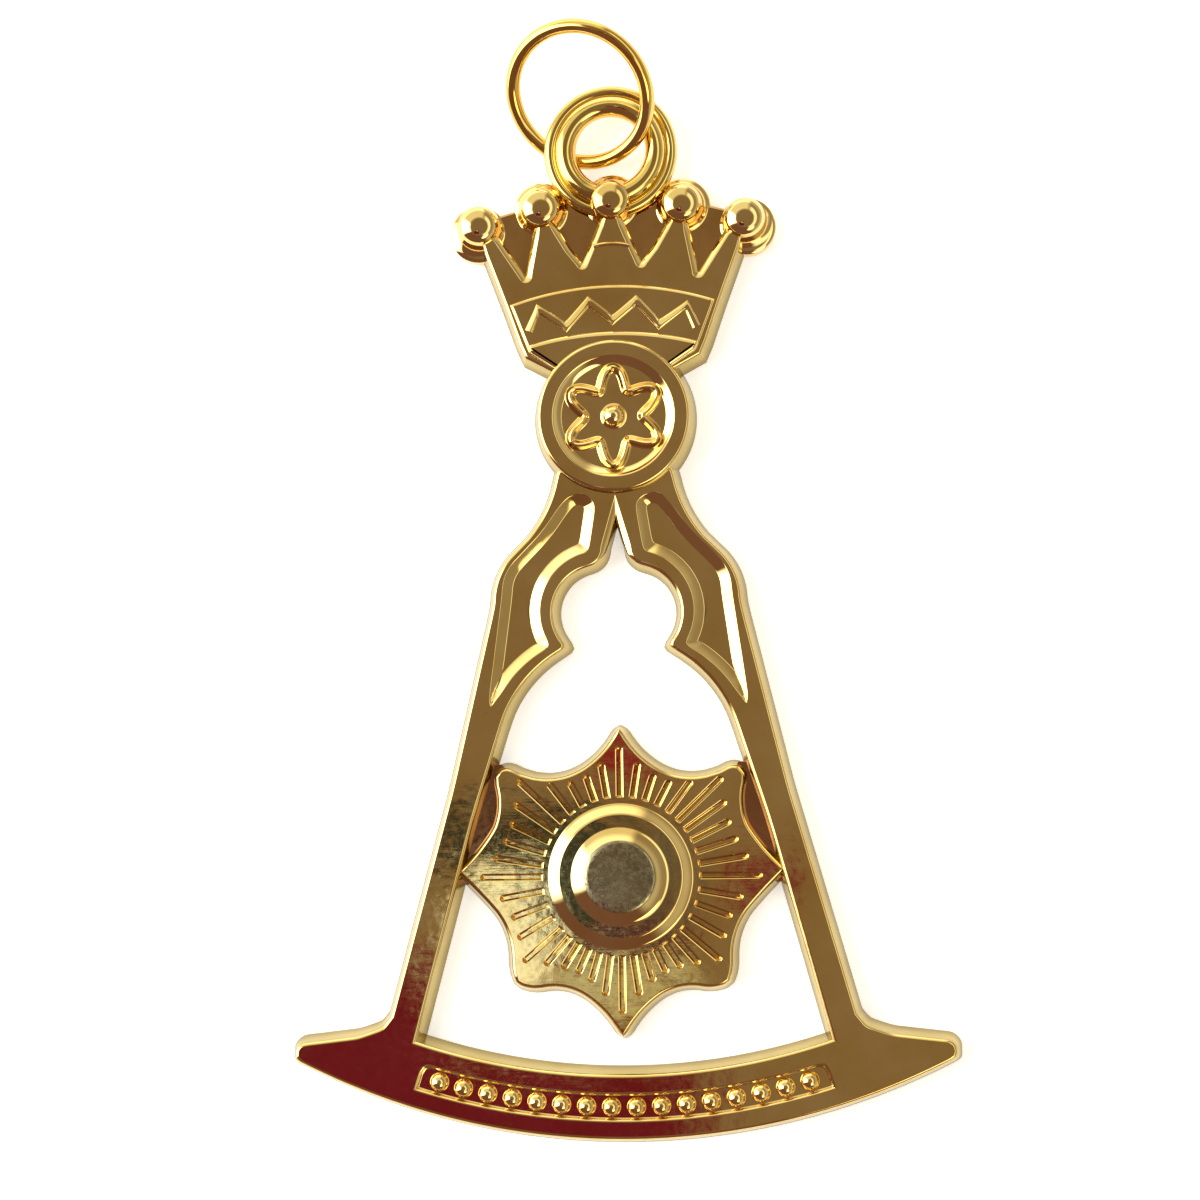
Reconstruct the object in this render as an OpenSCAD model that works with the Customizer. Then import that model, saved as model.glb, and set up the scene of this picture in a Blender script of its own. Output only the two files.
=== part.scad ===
// Collar jewel: a crowned pair of compasses standing on an arc, with a sun between the legs.
// It lies on its back. The origin is the middle of the sun, on the back plane; the crown
// points along +Y and the relief along +Z. Sizes are millimetres.

/* [Casting] */
// Height of the leg, crown and arc faces above the back
face_h = 2.4; // [1.8:0.1:3.2]
// Thickness of the thin backing behind the crown's points and of the webs beside the sun
back_h = 1.2; // [0.9:0.1:1.5]
// How far the foot of each wall stands out beyond the face it carries
wall_flare = 0.65; // [0.3:0.05:0.8]

/* [Legs and arc] */
// Distance from the middle of the sun to the hinge of the compasses
hinge_y = 37.1; // [34:0.1:40]
// Half the width across the outside of the two feet
leg_spread = 18.75; // [17:0.05:20.5]
// Outer radius of the arc, about the hinge
arc_r = 57.8; // [55:0.1:61]
// Width of the arc between its two edges
arc_w = 4.8; // [4:0.1:6]
// How far the horns of the arc reach to each side
horn_x = 26.3; // [24:0.1:29]
// Depth of the sunk panels in the legs
panel_depth = 0.4; // [0.2:0.05:0.8]

/* [Beaded channel] */
// Number of beads in the arc
bead_count = 16; // [6:1:18]
// Distance between two neighbouring beads
bead_pitch = 2.0; // [1.7:0.05:2.1]
// Radius of a bead
bead_r = 0.78; // [0.5:0.02:0.82]
// Width of the sunk channel that holds the beads
channel_w = 2.15; // [1.8:0.05:2.6]
// Depth of that channel
channel_depth = 0.45; // [0.2:0.05:0.8]

/* [Hinge disc] */
// Radius of the disc that covers the hinge
hub_r = 6.0; // [5:0.1:7]
// Width of the flat rim of the disc
hub_rim_w = 1.15; // [0.8:0.05:1.6]
// Height of the rim above the back
hub_h = 3.0; // [2.8:0.05:3.6]
// Depth of the floor inside the rim
hub_depth = 0.5; // [0.3:0.05:0.8]
// Radius to the points of the six-pointed rosette
rosette_r = 4.1; // [3:0.1:4.3]
// Width of the rib that draws the rosette
rosette_rib = 0.6; // [0.4:0.05:0.8]
// Radius of the bead in the middle of the rosette
hub_bead_r = 0.95; // [0.6:0.05:1.1]

/* [Crown] */
// Half the distance between the middles of the two outermost balls
crown_w = 10.88; // [9.8:0.02:12]
// Height from the hinge to the middle ball
crown_h = 17.82; // [16.5:0.02:19.5]
// Radius of the balls on the five points
ball_r = 1.7; // [1.4:0.05:2]
// Height of the top of the balls above the back
ball_h = 3.25; // [2.9:0.05:3.8]
// Height of each of the two steps of the circlet
circlet_step = 0.15; // [0.1:0.05:0.2]
// Width of the raised zigzag
zigzag_w = 0.62; // [0.4:0.02:0.8]
// Height of the zigzag above the band it lies on
zigzag_h = 0.25; // [0.15:0.05:0.4]

/* [Sun] */
// Size of the sun: the rays of its outline are shares of this radius
sun_r = 12.6; // [11.8:0.1:13.4]
// Height of the sun's face above the back
sun_h = 2.0; // [1.7:0.05:2.2]
// Radius of the stepped boss in the middle
boss_r = 5.75; // [5:0.05:6.1]
// Height of the boss above the back
boss_h = 3.4; // [3:0.05:4]
// Radius of the raised button on the boss
button_r = 3.85; // [3.2:0.05:4.2]
// Width of a groove
groove_w = 0.5; // [0.3:0.02:0.56]
// Depth of a groove
groove_depth = 0.35; // [0.2:0.05:0.5]

/* [Loop and jump ring] */
// Outer radius of the loop behind the crown
loop_r = 5.47; // [5.1:0.01:6]
// Radius of the hole in the loop
loop_hole_r = 2.85; // [2.6:0.05:3]
// Thickness of the loop's outer flange
loop_flange_h = 0.65; // [0.5:0.05:0.9]
// Distance from the crown's middle ball to the middle of the loop
loop_rise = 4.08; // [3.8:0.02:4.5]
// Diameter of the jump ring's wire
wire_d = 1.2; // [0.9:0.02:1.3]
// Radius of the jump ring, to the middle of its wire
ring_r = 5.72; // [5.3:0.02:6.2]
// Clear height kept between the wire and the loop, above and below it
ring_gap = 0.3; // [0.2:0.05:0.5]
// Width of the hairline where the ends of the wire meet
ring_slit = 0.12; // [0.05:0.01:0.3]

/* [Hidden] */
$fn = 64;

// Depth to which a raised layer is rooted in the layer below it
root_z = 0.4;
// Straight pieces in each curved stretch of an outline
curve_steps = 10;
// Height of cutting tools above what they cut
cut_h = 3;
// Small step that keeps two surfaces from falling together
nudge = 0.05;

// Points of the rosette, and how far its hollows lie from the middle as a share of its points
rosette_points = 6;
rosette_hollow = 0.57;
rosette_pitch = 180 / rosette_points;

leg_len = arc_r - arc_w;
channel_r = arc_r - arc_w / 2;
// Length of channel beyond the middle of the last bead, in bead pitches
channel_margin = 0.85;

loop_y = hinge_y + crown_h + loop_rise;
loop_z = wire_d + ring_gap;
loop_tube_r = (loop_r - loop_hole_r) * 0.33;
loop_tube_x = loop_hole_r + loop_tube_r;
loop_tube_z = loop_z + loop_flange_h * 0.7;
loop_top = loop_tube_z + loop_tube_r;

// The ring's lowest point lies under the middle of the loop's left side, and its lean
// carries the wire over the loop's right side, this far round from the lowest point
ring_low_side = 180;
ring_low_bearing = 246;
ring_over_turn = 86;
ring_lean = asin((loop_top + ring_gap) / (ring_r * (1 - cos(ring_over_turn))));
ring_low_r = (loop_r + loop_hole_r) / 2;
ring_low = [ring_low_r * cos(ring_low_side), loop_y + ring_low_r * sin(ring_low_side)];
ring_mid = ring_low - ring_r * cos(ring_lean) * [cos(ring_low_bearing), sin(ring_low_bearing)];

// Outline of one leg, as [share of leg_spread, share of leg_len below the hinge]
leg_crotch = [0, 0.123];
leg_tooth_inner = [0.064, 0.200];
leg_tooth_tip = [0.083, 0.219];
leg_tooth_outer = [0.112, 0.2255];
leg_scallop_side = [0.285, 0.290];
leg_scallop_end = [0.252, 0.341];
leg_cusp = [0.229, 0.351];
leg_ogee_mid = [0.376, 0.389];
leg_ogee_end = [0.501, 0.457];
leg_inner_mid = [0.640, 0.610];
leg_inner_foot = [0.909, 0.960];
leg_buried_foot = [1.01, 0.965];
leg_outer_foot = [1.0, 0.925];
leg_outer_mid = [0.718, 0.568];
leg_bend_low = [0.527, 0.285];
leg_bend_mid = [0.502, 0.240];
leg_bend_top = [0.456, 0.215];
leg_neck_low = [0.371, 0.185];
leg_neck_mid = [0.300, 0.147];
leg_neck_top = [0.244, 0.086];
leg_in_hub = [0.18, 0.05];

// Sunk panel of one leg, in the same shares
panel_top_in = [0.089, 0.136];
panel_top_mid = [0.158, 0.1185];
panel_top_out = [0.224, 0.130];
panel_neck_high = [0.250, 0.141];
panel_neck_mid = [0.297, 0.165];
panel_neck_low = [0.342, 0.184];
panel_bend_top = [0.442, 0.220];
panel_bend_mid = [0.480, 0.241];
panel_bend_low = [0.493, 0.268];
panel_tip = [0.553, 0.438];
panel_ogee_mid = [0.430, 0.3855];
panel_cusp = [0.297, 0.351];
panel_scallop_end = [0.300, 0.345];
panel_scallop_mid = [0.328, 0.274];
panel_scallop_top = [0.121, 0.206];

// Crown outline, as [share of crown_w, share of crown_h above the hinge]
crown_in_hub = [0.30, 0.17];
crown_corner = [0.643, 0.283];
crown_side_low = [0.687, 0.344];
crown_side_mid = [0.787, 0.519];
crown_side_top = [0.935, 0.762];
ball_places = [[-1, 0.897], [-0.53, 0.9725], [0, 1], [0.53, 0.9725], [1, 0.897]];
// Radius of the dome on each ball, as a share of ball_r
ball_flatness = 1.12;
// The feet of the two outermost balls lie a little outwards and down, in shares of ball_r
outer_foot_shift = [0.09, -0.26];
// Notches between the points: middle of the rounded bottom, then the two sides going up
outer_notch_bottom = [0.646, 0.654];
outer_notch = [[0.605, 0.66], [0.683, 0.64], [0.875, 0.82], [0.81, 1.0], [0.61, 1.0], [0.549, 0.84]];
inner_notch_bottom = [0.221, 0.708];
inner_notch = [[0.183, 0.70], [0.259, 0.70], [0.345, 0.766], [0.434, 0.858], [0.40, 1.06], [0.11, 1.06], [0.062, 0.876], [0.123, 0.786]];
notch_round = 0.45;
// Height of the small curved step in the middle point, where its sides begin, and how much
// lower the head above it lies
head_step = 0.795;
head_start = 0.755;
head_drop = 0.1;
// The two curved steps of the circlet share one radius and rise to these heights
circlet_r = 25.5 / 17.82;
circlet_top = 0.606;
circlet_low = 0.393;
circlet_inset = 0.12;
zigzag_line = [[-0.63, 0.40], [-0.556, 0.502], [-0.349, 0.415], [-0.179, 0.530], [0, 0.441],
               [0.179, 0.530], [0.349, 0.415], [0.556, 0.502], [0.63, 0.40]];

// Right-hand edge of the sun from its top tip to its bottom tip, as arcs in shares of sun_r:
// [where the arc starts, a point on its way]; it ends where the next one starts
sun_arcs = [
    [[0, 0.930], [0.077, 0.810]],
    [[0.192, 0.702], [0.335, 0.630]],
    [[0.464, 0.611], [0.593, 0.630]],
    [[0.698, 0.675], [0.765, 0.668]],
    [[0.786, 0.600], [0.768, 0.450]],
    [[0.800, 0.310], [0.890, 0.180]],
    [[1.028, 0.035], [0.909, -0.083]],
    [[0.794, -0.210], [0.722, -0.340]],
    [[0.690, -0.528], [0.683, -0.605]],
    [[0.665, -0.665], [0.590, -0.690]],
    [[0.500, -0.687], [0.381, -0.687]],
    [[0.230, -0.745], [0.090, -0.870]],
    [[0, -1.003], [0, 0]]
];
arcs_before_tip = len(sun_arcs) - 1;
// Grooves of the sun, clockwise from the top: [bearing of the groove on a tip, its end as a
// share of sun_r, end of the shortest groove before the next tip, pitches to the next tip]
groove_fans = [
    [0, 0.825, 0.675, 5],
    [46.5, 0.901, 0.778, 5],
    [90, 0.897, 0.746, 4],
    [130.5, 0.825, 0.675, 6],
    [180, 0.869, 0.675, 1]
];
// Plain ring left between the boss and the inner ends of the grooves
groove_gap = 0.6;
groove_start = boss_r + groove_gap;

// Web that fills the hollow between the sun and a leg, as shares of sun_r
web_outline = [[0.70, 0.62], [0.76, 0.72], [0.93, 0.72], [1.15, -0.03], [0.99, -0.05], [0.72, 0.26]];

function leg_point(s) = [s[0] * leg_spread, hinge_y - s[1] * leg_len];
function crown_point(s) = [s[0] * crown_w, hinge_y + s[1] * crown_h];
function sun_point(s) = s * sun_r;
function on_bearing(a, r) = [r * sin(a), r * cos(a)];

// Points from a to c, both included, along the circle through a, b and c
function curve(a, b, c) =
    let (u = b - a, v = c - a)
    let (w = 2 * (u[0] * v[1] - u[1] * v[0]))
    let (m = a + [v[1] * (u * u) - u[1] * (v * v), u[0] * (v * v) - v[0] * (u * u)] / w)
    let (r = norm(a - m))
    let (a0 = atan2(a[1] - m[1], a[0] - m[0]))
    let (turn = atan2(c[1] - m[1], c[0] - m[0]) - a0)
    let (sweep = w > 0 ? (turn < 0 ? turn + 360 : turn) : (turn > 0 ? turn - 360 : turn))
    [for (i = [0:curve_steps]) m + r * [cos(a0 + sweep * i / curve_steps), sin(a0 + sweep * i / curve_steps)]];

function side_normal(v) = [v[1], -v[0]] / norm(v);

// The outline moved outwards by d: each corner slides along the mitre of its two edges, and
// sharp points are kept blunt
function grown(p, d) = [
    for (i = [0:len(p) - 1])
        let (n = len(p))
        let (before = side_normal(p[i] - p[(i + n - 1) % n]))
        let (after = side_normal(p[(i + 1) % n] - p[i]))
        let (spread = 1 + before * after)
        p[i] + d * (before + after) / (cross(before, after) > 0 ? max(spread, 1) : spread)
];

// One edge of a ribbon of half width d along an open line
function ribbon_edge(p, d) = [
    for (i = [0:len(p) - 1])
        let (last = len(p) - 1)
        let (before = side_normal(p[max(i, 1)] - p[max(i, 1) - 1]))
        let (after = side_normal(p[min(i + 1, last)] - p[min(i + 1, last) - 1]))
        p[i] + d * (before + after) / (1 + before * after)
];

function reversed(p) = [for (i = [len(p) - 1:-1:0]) p[i]];
function flipped(p) = [for (q = p) [-q[0], q[1]]];
function leg_points(p) = [for (q = p) leg_point(q)];
function leg_curve(a, b, c) = curve(leg_point(a), leg_point(b), leg_point(c));
function crown_points(p) = [for (q = p) crown_point(q)];

// Right half of the legs, from below the crotch down the inner edge and up the outer one
right_leg = concat(
    leg_curve(leg_tooth_inner, leg_tooth_tip, leg_tooth_outer),
    leg_curve(leg_tooth_outer + [0.006, 0], leg_scallop_side, leg_scallop_end),
    leg_curve(leg_cusp, leg_ogee_mid, leg_ogee_end),
    leg_points([leg_inner_mid, leg_inner_foot, leg_buried_foot, leg_outer_foot, leg_outer_mid]),
    leg_curve(leg_bend_low, leg_bend_mid, leg_bend_top),
    leg_curve(leg_neck_low, leg_neck_mid, leg_neck_top),
    [leg_point(leg_in_hub)]
);
legs_outline = concat([leg_point(leg_crotch)], right_leg, reversed(flipped(right_leg)));

right_panel = concat(
    leg_curve(panel_tip, panel_ogee_mid, panel_cusp),
    leg_curve(panel_scallop_end, panel_scallop_mid, panel_scallop_top),
    leg_curve(panel_top_in, panel_top_mid, panel_top_out),
    leg_points([panel_neck_high, panel_neck_mid, panel_neck_low]),
    leg_curve(panel_bend_top, panel_bend_mid, panel_bend_low)
);

// Upper edge of one horn, outwards, in the shares of a leg; the last point is the tip itself
horn_edge = [[0.98, 0.910], [1.03, 0.928], [1.14, 0.941], [1.26, 0.946]];
horn_tip = [horn_x * 0.988, hinge_y - leg_len * 0.951];
horn_end = [horn_x, hinge_y - leg_len * 0.957];
right_horn = concat(leg_points(horn_edge), [horn_tip, horn_end, [horn_x, hinge_y - arc_r - arc_w]]);
horn_frame = concat(flipped(right_horn), reversed(right_horn));

// Right side of the sun from the top tip down to the bottom tip
right_sun = [
    for (i = [0:arcs_before_tip - 1])
        let (arc = curve(sun_point(sun_arcs[i][0]), sun_point(sun_arcs[i][1]), sun_point(sun_arcs[i + 1][0])))
        for (k = [0:curve_steps - 1]) arc[k]
];
sun_outline = concat(
    [sun_point([0, -1.003])],
    reversed(right_sun),
    flipped([for (i = [1:len(right_sun) - 1]) right_sun[i]])
);

right_crown = crown_points([crown_in_hub, crown_corner, crown_side_low, crown_side_mid, crown_side_top, ball_places[4], ball_places[3]]);
crown_outline = concat(right_crown, [crown_point(ball_places[2])], reversed(flipped(right_crown)));

module both_sides() {
    children();
    mirror([1, 0]) children();
}

// A layer of the casting, from the root plane up to height h
module layer(h) {
    translate([0, 0, root_z]) linear_extrude(h - root_z) children();
}

module arc_flat(flare) {
    difference() {
        intersection() {
            translate([0, hinge_y]) circle(r = arc_r + flare, $fn = 360);
            polygon(grown(horn_frame, flare));
        }
        intersection() {
            translate([0, hinge_y]) circle(r = leg_len - flare, $fn = 360);
            translate([-leg_spread * 0.95, hinge_y - arc_r]) square([leg_spread * 1.9, arc_r]);
        }
    }
}

module notches_flat() {
    both_sides() {
        polygon(crown_points(outer_notch));
        translate(crown_point(outer_notch_bottom)) circle(r = notch_round);
        polygon(crown_points(inner_notch));
        translate(crown_point(inner_notch_bottom)) circle(r = notch_round);
    }
}

module balls_flat(flare) {
    for (place = ball_places) {
        translate(crown_point(place)) circle(r = ball_r + flare);
    }
}

// Everything as thick as the backing, with the flared foot of every wall
module foot() {
    linear_extrude(back_h) {
        polygon(grown(legs_outline, wall_flare));
        arc_flat(wall_flare);
        polygon(grown(sun_outline, wall_flare));
        both_sides() polygon([for (q = web_outline) sun_point(q)]);
        translate([0, hinge_y]) circle(r = hub_r + wall_flare);
        polygon(grown(crown_outline, wall_flare));
        balls_flat(wall_flare);
        both_sides() translate(crown_point(ball_places[4]) + outer_foot_shift * ball_r) {
            circle(r = ball_r + wall_flare);
        }
    }
}

module bead_channel() {
    span = (bead_count - 1) * bead_pitch / channel_r * 180 / PI;
    margin = channel_margin * bead_pitch / channel_r * 180 / PI;
    turn = span + 2 * margin;
    translate([0, hinge_y, face_h - channel_depth]) rotate([0, 0, -90 - turn / 2]) {
        rotate_extrude(angle = turn) translate([channel_r - channel_w / 2, 0]) square([channel_w, cut_h]);
    }
}

module beads() {
    step = bead_pitch / channel_r * 180 / PI;
    for (i = [0:bead_count - 1]) {
        translate([0, hinge_y, face_h - channel_depth]) rotate([0, 0, (i - (bead_count - 1) / 2) * step]) {
            translate([0, -channel_r, 0]) sphere(r = bead_r, $fn = 32);
        }
    }
}

module legs_and_arc() {
    difference() {
        layer(face_h) {
            polygon(legs_outline);
            arc_flat(0);
        }
        translate([0, 0, face_h - panel_depth]) linear_extrude(cut_h) both_sides() polygon(right_panel);
        bead_channel();
    }
    beads();
}

module crown_balls() {
    dome_r = ball_r * ball_flatness;
    for (place = ball_places) {
        translate(crown_point(place)) intersection() {
            cylinder(r = ball_r, h = ball_h + cut_h);
            translate([0, 0, ball_h - dome_r]) sphere(r = dome_r);
        }
        translate(crown_point(place)) translate([0, 0, root_z]) cylinder(r = ball_r - nudge, h = back_h);
    }
}

module circlet_band(top, inset) {
    intersection() {
        difference() {
            polygon(grown(crown_outline, -inset));
            translate([0, hinge_y]) circle(r = hub_r - hub_rim_w / 2);
        }
        translate(crown_point([0, top]) - [0, circlet_r * crown_h]) circle(r = circlet_r * crown_h, $fn = 180);
    }
}

module zigzag() {
    line = crown_points(zigzag_line);
    layer(face_h + circlet_step + zigzag_h) {
        polygon(concat(ribbon_edge(line, zigzag_w / 2), reversed(ribbon_edge(line, -zigzag_w / 2))));
    }
}

// The head of the middle point, above its curved step
module middle_head() {
    head_w = crown_w * 0.5;
    difference() {
        translate(crown_point([0, head_start])) translate([-head_w / 2, 0]) square([head_w, crown_h]);
        translate(crown_point([0, head_step]) - [0, head_w]) circle(r = head_w);
    }
}

module crown() {
    difference() {
        layer(face_h) difference() {
            polygon(crown_outline);
            notches_flat();
        }
        translate([0, 0, face_h - head_drop]) linear_extrude(cut_h) middle_head();
    }
    layer(face_h + circlet_step) circlet_band(circlet_top, circlet_inset);
    layer(face_h + 2 * circlet_step) circlet_band(circlet_low, 2 * circlet_inset);
    zigzag();
    crown_balls();
}

// A star of outer radius r, one point up
module rosette_flat(r) {
    polygon([for (i = [0:2 * rosette_points - 1])
        on_bearing(rosette_pitch * i, i % 2 == 0 ? r : r * rosette_hollow)]);
}

module hub() {
    floor_h = hub_h - hub_depth;
    translate([0, hinge_y, 0]) {
        difference() {
            layer(hub_h) circle(r = hub_r);
            translate([0, 0, floor_h]) cylinder(r = hub_r - hub_rim_w, h = cut_h);
        }
        layer(hub_h - hub_depth * 0.3) difference() {
            rosette_flat(rosette_r);
            rosette_flat(rosette_r - rosette_rib / sin(rosette_pitch));
        }
        translate([0, 0, floor_h]) sphere(r = hub_bead_r, $fn = 32);
    }
}

module sun_grooves() {
    both_sides() {
        for (i = [0:len(groove_fans) - 1]) {
            for (j = [0:groove_fans[i][3] - 1]) {
                t = j / groove_fans[i][3];
                next = groove_fans[min(i + 1, len(groove_fans) - 1)];
                tip_end = t < 0.5 ? groove_fans[i][1] : next[1];
                middle_end = groove_fans[i][2];
                end_r = sun_r * (middle_end + (tip_end - middle_end) * pow(1 - 2 * t, 2)) - groove_w / 2;
                rotate(-groove_fans[i][0] - t * (next[0] - groove_fans[i][0])) {
                    translate([-groove_w / 2, groove_start]) square([groove_w, end_r - groove_start]);
                    translate([0, end_r]) circle(r = groove_w / 2, $fn = 24);
                }
            }
        }
    }
}

module boss() {
    step_h = sun_h + (boss_h - sun_h) * 0.5;
    rise = (boss_h - sun_h) * 0.5;
    rotate_extrude() polygon([
        [0, root_z],
        [boss_r, root_z],
        [boss_r, sun_h + nudge],
        [boss_r - rise, step_h],
        [button_r, step_h + nudge],
        [button_r - rise, boss_h - nudge],
        [0, boss_h]
    ]);
}

module sun() {
    difference() {
        layer(sun_h) polygon(sun_outline);
        translate([0, 0, sun_h - groove_depth]) linear_extrude(cut_h) sun_grooves();
    }
    boss();
}

// Section of the loop: a flat flange with a rounded ring inside it
module loop_section() {
    translate([loop_tube_x, loop_z]) square([loop_r - loop_tube_x, loop_flange_h]);
    intersection() {
        translate([loop_tube_x, loop_tube_z]) circle(r = loop_tube_r);
        translate([0, loop_z]) square([loop_r, cut_h]);
    }
}

module loop() {
    translate([0, loop_y, 0]) {
        rotate_extrude() loop_section();
        layer(loop_z + loop_flange_h * 0.5) intersection() {
            difference() {
                circle(r = loop_r - 2 * nudge);
                circle(r = loop_hole_r + loop_tube_r);
            }
            translate([-loop_r, -loop_r]) square([2 * loop_r, loop_r - loop_hole_r]);
        }
    }
}

module jewel_casting() {
    color("goldenrod") {
        foot();
        legs_and_arc();
        crown();
        hub();
        sun();
        loop();
    }
}

module jump_ring() {
    slit_turn = ring_slit / ring_r * 180 / PI;
    lift = wire_d / 2 + ring_r * sin(ring_lean);
    color("gold") translate([ring_mid[0], ring_mid[1], lift]) {
        rotate([0, 0, ring_low_bearing]) rotate([0, ring_lean, 0]) rotate([0, 0, slit_turn / 2]) {
            rotate_extrude(angle = 360 - slit_turn, $fn = 96) translate([ring_r, 0]) circle(d = wire_d, $fn = 24);
        }
    }
}

jewel_casting();
jump_ring();
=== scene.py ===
import math

import bmesh
import bpy
import numpy as np
from mathutils import Matrix


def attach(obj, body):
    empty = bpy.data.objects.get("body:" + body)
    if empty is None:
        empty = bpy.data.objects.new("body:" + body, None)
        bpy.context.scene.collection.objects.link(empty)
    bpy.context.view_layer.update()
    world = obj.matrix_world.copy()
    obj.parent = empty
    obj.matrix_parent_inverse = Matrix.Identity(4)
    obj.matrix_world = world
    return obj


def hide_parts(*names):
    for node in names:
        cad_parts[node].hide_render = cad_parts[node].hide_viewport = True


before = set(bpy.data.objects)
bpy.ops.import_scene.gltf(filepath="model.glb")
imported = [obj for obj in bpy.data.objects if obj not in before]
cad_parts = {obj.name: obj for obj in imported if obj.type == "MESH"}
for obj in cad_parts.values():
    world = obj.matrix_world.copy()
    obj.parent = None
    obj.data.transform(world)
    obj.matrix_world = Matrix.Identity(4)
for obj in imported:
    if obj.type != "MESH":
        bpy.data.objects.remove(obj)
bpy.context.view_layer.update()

# Sizes of the jewel in millimetres and degrees, in the frame of the construction: the
# origin is the middle of the sun on the back plane, the crown points along +Y and the
# relief along +Z
MM = 0.001
CASTING = "jewel_casting"
JUMP_RING = "jump_ring"

face_h = 2.4
back_h = 1.2
wall_flare = 0.65
ridge_pitch = 38
ridge_round = 0.26
ridge_start = 0.1
ridge_w = 0.14
wide_ridge_w = 0.45
wide_ridge_pitch = 28
foot_top = 0.3

hinge_y = 37.1
leg_spread = 18.75
arc_r = 57.8
arc_w = 4.8
leg_len = arc_r - arc_w
channel_r = arc_r - arc_w / 2
horn_x = 26.3
foot_share = 0.955
joint_reach = 0.4
panel_depth = 0.42
panel_slope = 0.75

bead_count = 16
bead_pitch = 2.0
bead_r = 0.78
channel_w = 2.15
channel_depth = 0.45
channel_slope = 0.18
channel_end = 0.85

hub_r = 6.0
hub_rim_w = 1.15
hub_h = 3.0
hub_depth = 0.5
rosette_r = 4.1
rosette_hollow = 0.6
rosette_rib = 0.95
rosette_h = 0.42
hub_bead_r = 0.95

crown_w = 10.88
crown_h = 17.82
crown_root = 49
ball_r = 1.7
ball_h = 3.25
ball_cap_h = 1.15
ball_power = 2.6
outer_foot_shift = (0.09, -0.26)
notch_flare = 0.5
circlet_radius = 25.5
circlet_step = 0.15
band_inset = 0.2
zigzag_w = 0.7
zigzag_h = 0.17
head_step_r = 5.44
head_step_half = 15.5
head_step_h = 0.09

sun_r = 12.6
sun_h = 2.0
boss_r = 5.75
boss_h = 3.4
button_r = 3.85
groove_w = 0.5
groove_depth = 0.35
groove_margin = 0.2

loop_r = 5.47
loop_hole_r = 2.85
loop_flange_h = 0.65
loop_rise = 4.08
collar_r = 5.2
wire_d = 1.2
ring_r = 5.72
ring_gap = 0.3
ring_slit = 0.12
loop_y = hinge_y + crown_h + loop_rise
loop_z = wire_d + ring_gap
loop_tube_r = (loop_r - loop_hole_r) * 0.33
loop_tube_x = loop_hole_r + loop_tube_r
loop_tube_z = loop_z + loop_flange_h * 0.7

# Turns a flat point over to the other side of the Y axis
flip = np.array([-1, 1])


def joined(*lines):
    """Several lists of points or numbers as one."""
    return np.concatenate(lines)


def right_of(v):
    """Unit vector to the right of each direction: (y, -x) over its length."""
    return np.stack([v[..., 1], -v[..., 0]], axis=-1) / np.linalg.norm(v, axis=-1, keepdims=True)


def curve(a, b, c, steps=10):
    """Points at even angles from a by way of b to c, on the circle through them. With
    u = b - a and v = c - a its middle is a + (v' |u|^2 - u' |v|^2) / 2 (u x v), where v' is
    v turned to its right."""
    a, b, c = np.array([a, b, c], float)
    u, v = b - a, c - a
    w = 2 * (u[0] * v[1] - u[1] * v[0])
    m = a + np.array([v[1] * (u @ u) - u[1] * (v @ v), u[0] * (v @ v) - v[0] * (u @ u)]) / w
    r = np.hypot(*(a - m))
    start = math.atan2(*(a - m)[::-1])
    sweep = (math.atan2(*(c - m)[::-1]) - start) % math.tau
    if w < 0:
        sweep -= math.tau
    t = start + sweep * np.linspace(0, 1, steps + 1)
    return m + r * np.stack([np.cos(t), np.sin(t)], axis=1)


def placer(width, height, steps):
    """Makers of points and of round lines whose places are given in shares of a width and of
    a height above the hinge."""

    def points(*shares):
        return np.array(shares, float) * [width, height] + [0, hinge_y]

    def bend(a, b, c):
        return curve(*points(a, b, c), steps)

    return points, bend


def circle_run(middle_y, r, start, end, steps=60):
    """Points on a circle about (0, middle_y): (r sin t, middle_y - r cos t), t in degrees from
    straight down."""
    t = np.radians(np.linspace(start, end, steps + 1))
    return np.stack([r * np.sin(t), middle_y - r * np.cos(t)], axis=1)


def polar(bearing, r):
    """Points at a distance and a bearing, clockwise from +Y: (r sin b, r cos b)."""
    return np.stack([r * np.sin(bearing), r * np.cos(bearing)], axis=-1)


def along(line, shares):
    """Points at given shares of a broken line's length: the running length of the line is
    scaled to 0..1, and each coordinate is read off at the shares."""
    line = np.asarray(line, float)
    run = joined([0], np.cumsum(np.linalg.norm(np.diff(line, axis=0), axis=1)))
    s = np.asarray(shares) * run[-1]
    return np.stack([np.interp(s, run, axis) for axis in line.T], axis=1)


def stretch(line, count=0, butts=None):
    """One stretch of an outline: its broken line and the shares of its length at which its
    columns stand, either count even ones or the list given. Where it butts on a neighbouring
    piece its own points are the columns, and butts holds the normals of that piece's edges at
    its two ends."""
    if butts is not None:
        shares = None
    elif np.isscalar(count):
        shares = np.arange(count) / count
    else:
        shares = count
    return np.asarray(line, float), shares, butts


def mitre(before, after):
    """How far a corner slides as its edges move outwards by one: (n1 + n2) / (1 + n1 . n2)
    for their right-hand normals n1 and n2; a sharp corner is kept blunt."""
    turn = before[..., 0] * after[..., 1] - before[..., 1] * after[..., 0]
    spread = 1 + np.sum(before * after, axis=-1)
    spread = np.maximum(spread, np.where(turn > 0, 1, 0.12))
    return (before + after) / spread[..., None]


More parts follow.
